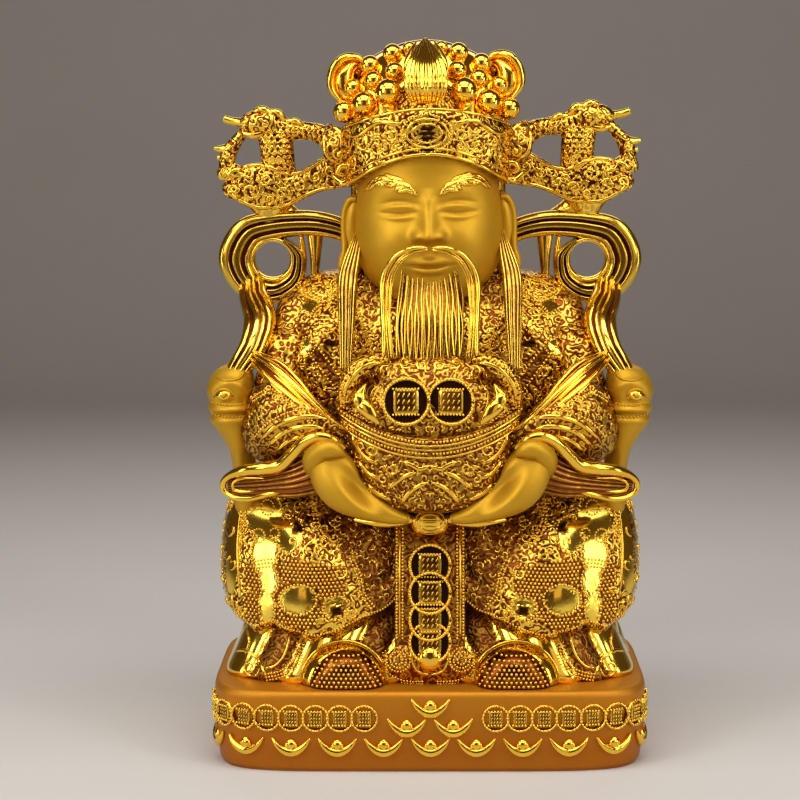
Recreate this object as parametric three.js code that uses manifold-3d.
// A seated god-of-wealth figurine in gilt resin: a robed official with a winged hat on a throne,
// holding a heaped treasure bowl, on a bowed plinth trimmed with coins and ingots.
// Millimetres, +Z up. The figure faces -Y and its own left hand is at +X.
// The origin is on the floor under the middle of the plinth.
import * as THREE from "three";
import { mergeVertices } from "three/addons/utils/BufferGeometryUtils.js";
import Module from "manifold-3d";

const wasm = await Module();
wasm.setup();

// Plinth, in millimetres.
const PLINTH_WIDTH = 229;
const PLINTH_DEPTH = 156.6;
const PLINTH_HEIGHT = 43;
const PLINTH_SQUARENESS = 6; // exponent of the bowed outline: 2 is an ellipse, higher is squarer
const PLINTH_FOOT_INSET = 3.5;
const PLINTH_EDGE_RADIUS = 3;

// Coin string and ingots moulded on the plinth's front and front corners, in millimetres.
const COIN_RADIUS = 7.2;
const COIN_PITCH = 12.6;
const COIN_RELIEF = 2.2;
const COIN_LEVEL = 29;
const FIRST_COIN_OFFSET = 34;
const COINS_PER_SIDE = 9;
const INGOT_WIDTH = 20.5;
const INGOT_HEIGHT = 6.5;
const INGOT_RELIEF = 3.4;
const INGOT_PITCH = 24;
const INGOT_LEVEL = 13.5;
const INGOTS_PER_SIDE = 5;
const INGOT_ROW_RISE = 10.5;

// Figure. Its pose and carving are shares of its own height: one "part" is a 336.7th of that height.
const FIGURE_HEIGHT = 336.7;
const FIGURE_PARTS = 336.7;
const JOIN_TOLERANCE = 0.2; // joined faces this close to one plane are merged
const GLUE_LINE = 0.3; // between the figure's flat foot and the plinth's top

const GOLD_POLISHED = new THREE.MeshStandardMaterial({ color: 0xe0a526, roughness: 0.14, metalness: 1 });
const GOLD_MATTE = new THREE.MeshStandardMaterial({ color: 0xd9a01f, roughness: 0.55, metalness: 0.75 });

const TURN = Math.PI * 2;
const FRONT = new THREE.Vector3(0, -1, 0);
const UP = new THREE.Vector3(0, 0, 1);
const point = (x, y, z) => new THREE.Vector3(x, y, z);
const mix = THREE.MathUtils.lerp;
const bell = (x, middle, spread) => Math.exp(-(((x - middle) / spread) ** 2));

// Shape helpers

// A closed body through rings of equal length, fanned shut at both ends.
function loft(rings) {
  const around = rings[0].length;
  const places = rings.flat().flatMap((p) => [p.x, p.y, p.z]);
  const faces = [];
  for (let r = 0; r + 1 < rings.length; r++) {
    for (let i = 0; i < around; i++) {
      const j = (i + 1) % around;
      const [a, b, c, d] = [r * around + i, r * around + j, (r + 1) * around + j, (r + 1) * around + i];
      faces.push(a, b, c, a, c, d);
    }
  }
  for (const [ring, start, outward] of [
    [rings[0], 0, false],
    [rings.at(-1), (rings.length - 1) * around, true],
  ]) {
    const middle = ring.reduce((sum, p) => sum.add(p), point(0, 0, 0)).divideScalar(around);
    const hub = places.length / 3;
    places.push(middle.x, middle.y, middle.z);
    for (let i = 0; i < around; i++) {
      const j = (i + 1) % around;
      faces.push(hub, start + (outward ? i : j), start + (outward ? j : i));
    }
  }
  const geometry = new THREE.BufferGeometry();
  geometry.setAttribute("position", new THREE.Float32BufferAttribute(places, 3));
  geometry.setIndex(faces);
  return geometry;
}

// A level ring of superellipse shape; reach(x, y) may push each point out or up.
function ring({ z, x = 0, y = 0, rx, ry, power = 2 }, sides, shift = (p) => p) {
  return Array.from({ length: sides }, (_, i) => {
    const angle = (i / sides) * TURN;
    const [c, s] = [Math.cos(angle), Math.sin(angle)];
    const squared = (v) => Math.sign(v) * Math.abs(v) ** (2 / power);
    return shift(point(x + rx * squared(c), y + ry * squared(s), z));
  });
}

// Rings at the given levels, with each column of the table read off at that level.
function stack(levels, sides, shift) {
  return loft(levels.map((level) => ring(level, sides, (p) => (shift ? shift(p, level) : p))));
}

// A tube along a smooth path. Its section is an ellipse: `across` in the plane facing the front, `deep` along the facing.
function limb(path, across, deep, { sides = 6, steps = 6, facing = FRONT } = {}) {
  const curve = new THREE.CatmullRomCurve3(path.map((p) => point(...p)));
  const readOff = (list, t) => {
    const place = t * (list.length - 1);
    const low = Math.min(Math.floor(place), list.length - 2);
    return mix(list[low], list[low + 1], place - low);
  };
  const rings = Array.from({ length: steps + 1 }, (_, step) => {
    const t = step / steps;
    const middle = curve.getPoint(t);
    const along = curve.getTangent(t);
    const side = new THREE.Vector3().crossVectors(along, facing).normalize();
    const out = new THREE.Vector3().crossVectors(side, along).normalize();
    return Array.from({ length: sides }, (__, i) => {
      const angle = (i / sides) * TURN;
      return middle
        .clone()
        .addScaledVector(side, readOff(across, t) * Math.cos(angle))
        .addScaledVector(out, readOff(deep, t) * Math.sin(angle));
    });
  });
  return loft(rings);
}

// A flat outline standing upright in the XZ plane, from y = back to y = front.
function upright(outline, front, back, curveSegments = 4) {
  const geometry = new THREE.ExtrudeGeometry(outline, { depth: back - front, bevelEnabled: false, curveSegments });
  return geometry.rotateX(Math.PI / 2).translate(0, back, 0);
}

// A bead of few facets, for the many small round things.
function ball(x, y, z, radius, { stretch = 1, detail = 0 } = {}) {
  return new THREE.IcosahedronGeometry(radius, detail).scale(1, 1, stretch).translate(x, y, z);
}

function mirrored(geometry) {
  const copy = geometry.clone();
  const places = copy.getAttribute("position");
  for (let i = 0; i < places.count; i++) places.setX(i, -places.getX(i));
  return copy;
}

const bothSides = (geometries) => geometries.flatMap((geometry) => [geometry, mirrored(geometry)]);

// A geometry as a solid whose faces point out, at the given scale.
function solid(geometry, scale = 1) {
  const bare = geometry.index ? geometry.toNonIndexed() : geometry.clone();
  bare.deleteAttribute("normal");
  bare.deleteAttribute("uv");
  const merged = mergeVertices(bare.scale(scale, scale, scale), 1e-3);
  const places = merged.getAttribute("position");
  const faces = merged.index.array;
  const corner = (k) => new THREE.Vector3().fromBufferAttribute(places, faces[k]);
  let volume = 0;
  for (let f = 0; f < faces.length; f += 3) volume += corner(f).dot(corner(f + 1).cross(corner(f + 2)));
  if (volume < 0) for (let f = 0; f < faces.length; f += 3) [faces[f], faces[f + 1]] = [faces[f + 1], faces[f]];
  return new wasm.Manifold(
    new wasm.Mesh({
      numProp: 3,
      vertProperties: new Float32Array(places.array),
      triVerts: new Uint32Array(faces),
      tolerance: JOIN_TOLERANCE,
    }),
  );
}

const join = (solids) => solids.reduce((sum, next) => sum.add(next));

function meshOf(name, made, material) {
  const { vertProperties, triVerts } = made.getMesh();
  const geometry = new THREE.BufferGeometry();
  geometry.setAttribute("position", new THREE.Float32BufferAttribute(vertProperties, 3));
  geometry.setIndex([...triVerts]);
  geometry.computeVertexNormals();
  const mesh = new THREE.Mesh(geometry, material);
  mesh.name = name;
  return mesh;
}

// Plinth

// The body stands back by half the ingots' relief, so the origin is under the middle of the whole.
function plinthLevel(z, inset) {
  return { z, y: INGOT_RELIEF / 2, rx: PLINTH_WIDTH / 2 - inset, ry: PLINTH_DEPTH / 2 - inset, power: PLINTH_SQUARENESS };
}

function plinthBody() {
  const round = PLINTH_EDGE_RADIUS;
  return stack(
    [
      plinthLevel(0, PLINTH_FOOT_INSET),
      plinthLevel(round, PLINTH_FOOT_INSET - round / 2),
      plinthLevel(PLINTH_HEIGHT - round, 0),
      plinthLevel(PLINTH_HEIGHT - round / 3, round / 3),
      plinthLevel(PLINTH_HEIGHT, round),
    ],
    28,
  );
}

// Where the plinth's side is, at an arc length right of the front's middle, with the outward direction.
function plinthSide(distance) {
  const fine = 2400;
  const outline = ring(plinthLevel(0, PLINTH_EDGE_RADIUS / 3), fine);
  let i = Math.round(fine * 0.75);
  for (let left = Math.abs(distance); left > 0; i++) left -= outline[i % fine].distanceTo(outline[(i + 1) % fine]);
  const [here, next] = [outline[i % fine], outline[(i + 1) % fine]];
  const outward = point(next.y - here.y, here.x - next.x, 0).normalize();
  const flip = distance < 0 ? -1 : 1;
  return { x: here.x * flip, y: here.y, turn: Math.atan2(outward.x * flip, -outward.y) };
}

// Sets a piece modelled facing -Y at x = 0 onto the plinth's side.
function onPlinth(geometry, distance, level) {
  const { x, y, turn } = plinthSide(distance);
  return geometry.clone().rotateZ(turn).translate(x, y, level);
}

function coinGeometry() {
  const disc = new THREE.Shape().absarc(0, 0, COIN_RADIUS, 0, TURN);
  return upright(disc, -COIN_RELIEF, COIN_RELIEF, 4);
}

// A boat-shaped ingot: two upswept points and a round knob between them.
function ingotGeometry() {
  const half = INGOT_WIDTH / 2;
  const knob = INGOT_HEIGHT / 2;
  const boat = new THREE.Shape();
  boat.moveTo(-half, INGOT_HEIGHT / 2);
  boat.quadraticCurveTo(-half / 2, -INGOT_HEIGHT, 0, -INGOT_HEIGHT);
  boat.quadraticCurveTo(half / 2, -INGOT_HEIGHT, half, INGOT_HEIGHT / 2);
  boat.lineTo(knob, -knob / 2);
  boat.absarc(0, 0, knob, -0.4, Math.PI + 0.4);
  return upright(boat, -INGOT_RELIEF, INGOT_RELIEF, 2);
}

function plinth() {
  const trim = [];
  for (const side of [-1, 1]) {
    for (let i = 0; i < COINS_PER_SIDE; i++) {
      trim.push(onPlinth(coinGeometry(), side * (FIRST_COIN_OFFSET + i * COIN_PITCH), COIN_LEVEL));
    }
  }
  const rows = [
    { count: 2 * INGOTS_PER_SIDE + 1, level: INGOT_LEVEL },
    { count: 2, level: INGOT_LEVEL + INGOT_ROW_RISE },
    { count: 1, level: INGOT_LEVEL + 2 * INGOT_ROW_RISE },
  ];
  for (const { count, level } of rows) {
    for (let i = 0; i < count; i++) {
      const distance = (i - (count - 1) / 2) * INGOT_PITCH;
      trim.push(onPlinth(ingotGeometry(), distance, level));
    }
  }
  return join([plinthBody(), ...trim].map((geometry) => solid(geometry)));
}

// Throne and robe

const SEAT_BACK = 71;
const KNEE = { x: 62, spread: 25 };

// The robe over the knees: waves at the foot, a flared hem, two knees and the lap.
function lowerRobe() {
  const levels = [
    { z: 0, half: 105, front: 56, knee: 4, fold: 1 },
    { z: 17, half: 102, front: 48, knee: 8, fold: 1 },
    { z: 20, half: 108, front: 50, knee: 14, fold: 3 },
    { z: 27, half: 110, front: 50, knee: 15, fold: 2 },
    { z: 48, half: 113, front: 46, knee: 16, fold: 1 },
    { z: 68, half: 112, front: 42, knee: 16, fold: 0 },
    { z: 86, half: 108, front: 35, knee: 12, fold: 0 },
    { z: 99, half: 94, front: 24, knee: 3, fold: 0 },
  ];
  return loft(
    levels.map(({ z, half, front, knee, fold }) =>
      ring({ z, rx: half, ry: 1, power: 4.5 }, 28, (p) => {
        const ripple = fold * Math.sin(p.x / 4.2);
        const reach = front + knee * bell(Math.abs(p.x), KNEE.x, KNEE.spread) + ripple;
        return point(p.x, p.y < 0 ? p.y * reach : p.y * SEAT_BACK, z);
      }),
    ),
  );
}

function throneBack() {
  const outline = new THREE.Shape();
  outline.moveTo(-92, 80);
  outline.lineTo(-92, 168);
  outline.quadraticCurveTo(-90, 192, -60, 194);
  outline.quadraticCurveTo(0, 216, 60, 194);
  outline.quadraticCurveTo(90, 192, 92, 168);
  outline.lineTo(92, 80);
  return upright(outline, 34, SEAT_BACK - 6, 5);
}

// An armrest that runs forward from the back and ends in a beast's head on a curved neck.
function armrest() {
  const rail = limb([[100, 62, 118], [104, 20, 122], [105, -22, 120]], [10, 9, 8], [12, 11, 10], { steps: 1, facing: UP });
  const head = [
    { z: 82, x: 101, y: -18, rx: 6, ry: 9 },
    { z: 125, x: 106.5, y: -30, rx: 12.5, ry: 13 },
    { z: 131, x: 106, y: -29, rx: 11.5, ry: 12 },
    { z: 136, x: 107, y: -30, rx: 12.5, ry: 13 },
    { z: 147, x: 106.5, y: -29, rx: 12.8, ry: 13.5 },
    { z: 156, x: 106, y: -28, rx: 11.5, ry: 12 },
    { z: 162, x: 106, y: -27, rx: 7.5, ry: 8 },
    { z: 167, x: 107, y: -27, rx: 3.5, ry: 3.5 },
  ];
  const brow = limb([[98, -39, 149], [107, -42, 153], [116, -38, 149]], [2, 2.6, 2], [2, 3, 2], { sides: 6, steps: 3 });
  return [rail, stack(head, 8), brow, ball(107, -41, 146, 3.8)];
}

function torso() {
  return stack(
    [
      { z: 86, y: 12, rx: 74, ry: 40, power: 2.6 },
      { z: 140, y: 8, rx: 80, ry: 40, power: 2.6 },
      { z: 168, y: 8, rx: 88, ry: 38, power: 2.6 },
      { z: 190, y: 10, rx: 91, ry: 34, power: 2.8 },
      { z: 201, y: 12, rx: 84, ry: 30, power: 2.8 },
      { z: 206, y: 12, rx: 58, ry: 24, power: 2.4 },
      { z: 212, y: 8, rx: 34, ry: 20 },
    ],
    14,
  );
}

// The broad sleeve, its hanging cuff and the grooved scarf that crosses it.
function sleeve() {
  return [
    limb(
      [[76, 6, 186], [86, -8, 164], [84, -28, 140], [68, -46, 128], [48, -58, 128]],
      [18, 23, 27, 20, 11],
      [16, 18, 18, 14, 10],
      { sides: 8, steps: 4 },
    ),
    limb(
      [[42, -60, 130], [60, -58, 114], [78, -52, 105], [95, -45, 104], [106, -40, 103]],
      [4, 9, 12, 11, 7],
      [6, 8, 9, 8, 6],
      { sides: 5, steps: 4 },
    ),
    limb(
      [[88, -6, 168], [82, -34, 158], [64, -52, 148], [46, -62, 133]],
      [8, 6, 5, 3],
      [4, 5, 5, 4],
      { sides: 5, steps: 3 },
    ),
  ];
}

// A hand under the bowl: the heel, four fingers side by side and a thumb against the rim.
function hand() {
  const palm = limb([[62, -48, 122], [57, -58, 112], [46, -64, 101], [34, -64, 95]], [8, 11, 10, 7], [9, 12, 13, 11], {
    steps: 3,
  });
  const fingers = [0, 1, 2, 3].map((i) => {
    const y = -76 + i * 8.4;
    return limb([[48, y + 4, 99], [34, y, 91], [22, y + 1, 88], [13, y + 3, 89]], [5, 4.6, 4, 3], [4, 4, 3.8, 3], {
      sides: 5,
      steps: 2,
    });
  });
  const thumb = limb([[58, -62, 118], [52, -70, 124], [46, -72, 132]], [5.5, 5, 3.4], [5.5, 5, 3.4], { sides: 5, steps: 2 });
  return [palm, ...fingers, thumb];
}

// Treasure bowl

const BOWL = { y: -53, foot: 93, rim: 131, rimLift: 17, rimHalf: 50 };

function bowl() {
  const levels = [
    { z: BOWL.foot, rx: 22, ry: 13, lift: 0 },
    { z: BOWL.foot + 4, rx: 33, ry: 18, lift: 0 },
    { z: BOWL.foot + 15, rx: 41, ry: 22, lift: 0.25 },
    { z: BOWL.rim - 5, rx: 47, ry: 25, lift: 0.9 },
    { z: BOWL.rim - 4, rx: 50, ry: 27, lift: 1 },
    { z: BOWL.rim, rx: BOWL.rimHalf, ry: 27, lift: 1 },
    { z: BOWL.rim + 1, rx: 46, ry: 24, lift: 1 },
  ];
  return stack(
    levels.map((level) => ({ ...level, y: BOWL.y })),
    20,
    (p, { lift, rx }) => point(p.x, p.y, p.z + BOWL.rimLift * lift * (p.x / rx) ** 2),
  );
}

// The heap in the bowl: a mound, two upright coins, leaf-edged ingots and beads.
function treasure() {
  const mound = stack(
    [
      { z: 130, y: BOWL.y, rx: 46, ry: 24 },
      { z: 150, y: BOWL.y + 1, rx: 46, ry: 22, power: 2.4 },
      { z: 166, y: BOWL.y + 4, rx: 36, ry: 14, power: 2.4 },
      { z: 175, y: BOWL.y + 6, rx: 10, ry: 6 },
    ],
    14,
  );
  const coin = (x) => {
    const disc = new THREE.Shape().absarc(x, 149.4, 11.6, 0, TURN);
    const half = 3.4;
    const hole = [[-1, -1], [-1, 1], [1, 1], [1, -1]].map(([u, v]) => new THREE.Vector2(x + u * half, 149.4 + v * half));
    disc.holes.push(new THREE.Path(hole));
    return upright(disc, BOWL.y - 27, BOWL.y - 18, 5);
  };
  const lobe = limb([[46, -60, 148], [41, -66, 162], [27, -66, 171], [14, -62, 172]], [4, 9, 9, 4], [5, 7, 7, 5], {
    steps: 4,
  });
  return [mound, coin(-12.3), coin(11.7), ...bothSides([lobe])];
}

// Sash, belt and shoes

const SASH = { half: 14, top: 88, foot: 5, y: -50 };

function sash() {
  const panel = new THREE.Shape();
  panel.moveTo(-SASH.half, SASH.top);
  panel.lineTo(-SASH.half, SASH.foot + 18);
  panel.quadraticCurveTo(-SASH.half - 8, SASH.foot + 8, 0, SASH.foot);
  panel.quadraticCurveTo(SASH.half + 8, SASH.foot + 8, SASH.half, SASH.foot + 18);
  panel.lineTo(SASH.half, SASH.top);
  const coins = [0, 1, 2, 3].map((i) => {
    const disc = new THREE.Shape().absellipse(0, 70 - i * 16.5, 10, 9, 0, TURN);
    return upright(disc, SASH.y - 8, SASH.y, 4);
  });
  const boss = ball(0, SASH.y - 6, 15, 7, { detail: 1 });
  return [upright(panel, SASH.y - 4.5, SASH.y + 14, 4), ...coins, boss];
}

function belt() {
  const buckle = new THREE.Shape().absellipse(0, 88, 10, 7, 0, TURN);
  const strap = [[-74, -6, 92], [-38, -34, 88], [0, -44, 86], [38, -34, 88], [74, -6, 92]];
  return [upright(buckle, -50, -20, 7), limb(strap, [5, 5], [5, 5], { steps: 4, facing: UP })];
}

// A domed toe with a rolled edge.
function shoe() {
  const toe = new THREE.Shape();
  toe.moveTo(24, 0);
  toe.absellipse(46, 0, 22, 19, Math.PI, 0, true);
  const rim = new THREE.Shape();
  rim.moveTo(20, 0);
  rim.absellipse(46, 0, 26, 23, Math.PI, 0, true);
  return [upright(rim, -66, -40, 8), upright(toe, -71, -50, 8)];
}

// Head, hair and beard

const HEAD_Y = -8;

function head() {
  const skull = stack(
    [
      { z: 197, y: HEAD_Y - 12, rx: 12, ry: 14 },
      { z: 201, y: HEAD_Y - 8, rx: 22, ry: 22 },
      { z: 208, y: HEAD_Y - 4, rx: 31, ry: 29 },
      { z: 218, y: HEAD_Y, rx: 37.5, ry: 34, power: 2.2 },
      { z: 230, y: HEAD_Y, rx: 39.6, ry: 35, power: 2.3 },
      { z: 254, y: HEAD_Y, rx: 38, ry: 34, power: 2.3 },
      { z: 284, y: HEAD_Y, rx: 36, ry: 32 },
    ],
    16,
  );
  const nose = limb([[0, -38, 256], [0, -42, 246], [0, -48, 235], [0, -44, 230]], [4, 4.6, 6.5, 5], [3, 4, 5, 3], { steps: 3 });
  const nostril = ball(6.5, -42, 232.5, 4.4);
  const lid = ball(17, -36, 247, 8, { stretch: 0.6 });
  const ear = limb([[40, -4, 250], [43.5, -5, 238], [42, -6, 226], [43, -7, 216]], [4, 7, 6.5, 6], [7, 8, 6, 4], {
    steps: 3,
  });
  const lip = limb([[-12, -41, 218], [0, -45.5, 216.5], [12, -41, 218]], [1.5, 2.8, 1.5], [2, 2.6, 2], { sides: 5, steps: 2 });
  return [skull, nose, lip, ...bothSides([nostril, lid, ear])];
}

function hair() {
  const brow = limb([[7, -41.5, 256], [17, -42, 262], [29, -38, 261], [36, -32, 252]], [1.5, 3.4, 3, 1], [2, 2.4, 2.4, 1], {
    sides: 5,
    steps: 3,
  });
  const moustache = limb(
    [[0, -43, 224], [12, -43, 222], [21, -42, 212], [23, -46, 196], [21.5, -51, 174]],
    [2, 3.6, 4, 4.2, 3],
    [2, 3.4, 3.6, 3.6, 2.4],
    { sides: 5, steps: 5 },
  );
  const sideLock = limb(
    [[36, -24, 236], [44, -28, 206], [48, -34, 184], [45, -44, 160]],
    [2.4, 6.5, 6.5, 4],
    [3, 5, 5, 4],
    { sides: 5, steps: 4 },
  );
  const beard = limb(
    [[0, -36, 208], [0, -44, 198], [0, -49, 184], [0, -54, 168]],
    [13, 16.5, 17, 13],
    [6, 8, 8, 6],
    { sides: 8, steps: 3 },
  );
  return [beard, ...bothSides([brow, moustache, sideLock])];
}

// Hat

function hatBand() {
  const drop = (x, most, half) => most * Math.min(1, Math.abs(x / half)) ** 2;
  return stack(
    [
      { z: 274, rx: 41, ry: 36, fall: 18 },
      { z: 277, rx: 43.5, ry: 38.5, fall: 17 },
      { z: 294, rx: 46.5, ry: 39, fall: 10 },
      { z: 303, rx: 40, ry: 33, fall: 4 },
    ].map((level) => ({ ...level, y: HEAD_Y + 2, power: 2.2 })),
    18,
    (p, { fall, rx }) => point(p.x, p.y, p.z - drop(p.x, fall, rx)),
  );
}

// The smooth shell that stands behind the beads, with a lobe rolled out at each side.
function hatShell() {
  const outline = new THREE.Shape();
  outline.moveTo(0, 292);
  outline.lineTo(44, 292);
  outline.quadraticCurveTo(52, 300, 51, 312);
  outline.quadraticCurveTo(50, 327, 38, 326);
  outline.quadraticCurveTo(20, 336.7, 0, FIGURE_PARTS - 1);
  outline.quadraticCurveTo(-20, 336.7, -38, 326);
  outline.quadraticCurveTo(-50, 327, -51, 312);
  outline.quadraticCurveTo(-52, 300, -44, 292);
  const crown = stack(
    [
      { z: 294, y: 0, rx: 45, ry: 33 },
      { z: 308, y: 2, rx: 44, ry: 30 },
      { z: 322, y: 5, rx: 36, ry: 21 },
      { z: 331, y: 7, rx: 22, ry: 12 },
    ],
    14,
  );
  return [upright(outline, 4, 14, 3), crown];
}

function hatBeads() {
  const bead = [
    [43.5, -10, 299, 5.6], [34, -22, 302.5, 6.2], [21.8, -29, 308.3, 7],
    [39.5, -12, 311, 5], [29, -14, 318, 6], [17.5, -9, 326, 6.5],
  ];
  const bud = stack(
    [
      { z: 303, y: -30, rx: 5, ry: 4 },
      { z: 310, y: -31, rx: 9.5, ry: 7 },
      { z: 318, y: -29, rx: 9.8, ry: 7 },
      { z: 327, y: -24, rx: 6.5, ry: 5 },
      { z: 333, y: -20, rx: 2.8, ry: 2.5 },
      { z: FIGURE_PARTS, y: -18, rx: 0.8, ry: 0.8 },
    ],
    10,
  );
  const stem = limb([[0, -10, 300], [0, -16, 318]], [14, 10], [12, 6], { sides: 8, steps: 2 });
  return [bud, stem, ...bothSides(bead.map(([x, y, z, radius]) => ball(x, y, z, radius)))];
}

// One pierced wing: a dragon arched over a cloud bank, footed on the scroll below it.
function hatWing() {
  const outline = new THREE.Shape();
  outline.moveTo(40, 292);
  outline.lineTo(56, 290);
  outline.splineThru([[66, 282], [74, 279]].map(([x, z]) => new THREE.Vector2(x, z)));
  outline.lineTo(72, 274);
  outline.lineTo(95, 274);
  outline.lineTo(93, 280);
  outline.splineThru([[104, 284], [112, 290], [113, 300], [111, 306]].map(([x, z]) => new THREE.Vector2(x, z)));
  outline.lineTo(114.5, 313);
  outline.lineTo(105, 315);
  outline.splineThru([[103, 322], [97, 327]].map(([x, z]) => new THREE.Vector2(x, z)));
  outline.lineTo(109, 330);
  outline.lineTo(108, 334);
  outline.splineThru([[98, 333], [90, 336], [76, 332], [60, 328], [48, 322]].map(([x, z]) => new THREE.Vector2(x, z)));
  outline.lineTo(40, 318);
  const window = (corners) => new THREE.Path(corners.map(([x, z]) => new THREE.Vector2(x, z)));
  outline.holes.push(window([[91, 308], [90, 320], [98, 320], [105, 310], [98, 306]]));
  outline.holes.push(window([[71, 303], [71, 317], [66, 320], [61, 317], [56, 308]]));
  return upright(outline, 1, 9, 2).translate(0, 0, -43.3 + 2.5 + 8);
}

// A broad scroll that curls out from behind the head, and the scarf end that falls from it.
const SCROLL = {
  eye: { x: 85, z: 218 },
  // angle round the eye in degrees, distance of the band's middle from it, half the band's width
  turns: [[50, 12, 2.5], [0, 14.5, 4.5], [-45, 16.5, 5], [-90, 18.2, 5.8], [-135, 19.5, 7.6], [-180, 20, 9.5], [-225, 19.4, 8.8], [-270, 18.2, 7.8]],
  toHead: [[66, 238, 7], [44, 233, 6]],
  y: 14,
  depth: 8,
};

function scroll() {
  const coil = SCROLL.turns.map(([degrees, distance, half]) => {
    const angle = THREE.MathUtils.degToRad(degrees);
    return [SCROLL.eye.x - distance * Math.cos(angle), SCROLL.eye.z + distance * Math.sin(angle), half];
  });
  const band = [...coil, ...SCROLL.toHead];
  const path = band.map(([x, z]) => [x, SCROLL.y, z]);
  const halves = band.map(([, , half]) => half);
  const fall = limb([[98, 8, 204], [92, 2, 190], [97, -6, 176], [104, -14, 158]], [9, 6, 7, 6], [6, 6, 5, 5], {
    sides: 5,
    steps: 4,
  });
  return [limb(path, halves, [SCROLL.depth, SCROLL.depth], { sides: 6, steps: 13 }), fall];
}

function figure() {
  const middle = [
    lowerRobe(), throneBack(), torso(), bowl(), ...treasure(), ...sash(), ...belt(), ...head(), hatBand(),
    ...hatShell(),
  ];
  const paired = bothSides([...armrest(), ...sleeve(), ...hand(), ...shoe(), ...scroll(), hatWing()]);
  const scale = FIGURE_HEIGHT / FIGURE_PARTS;
  return join([...middle, ...paired, ...hair(), ...hatBeads()].map((geometry) => solid(geometry, scale)));
}

const part = new THREE.Group();
part.add(meshOf("plinth", plinth(), GOLD_MATTE));
const figureMesh = meshOf("figure", figure(), GOLD_POLISHED);
figureMesh.position.z = PLINTH_HEIGHT + GLUE_LINE;
part.add(figureMesh);

export default part;
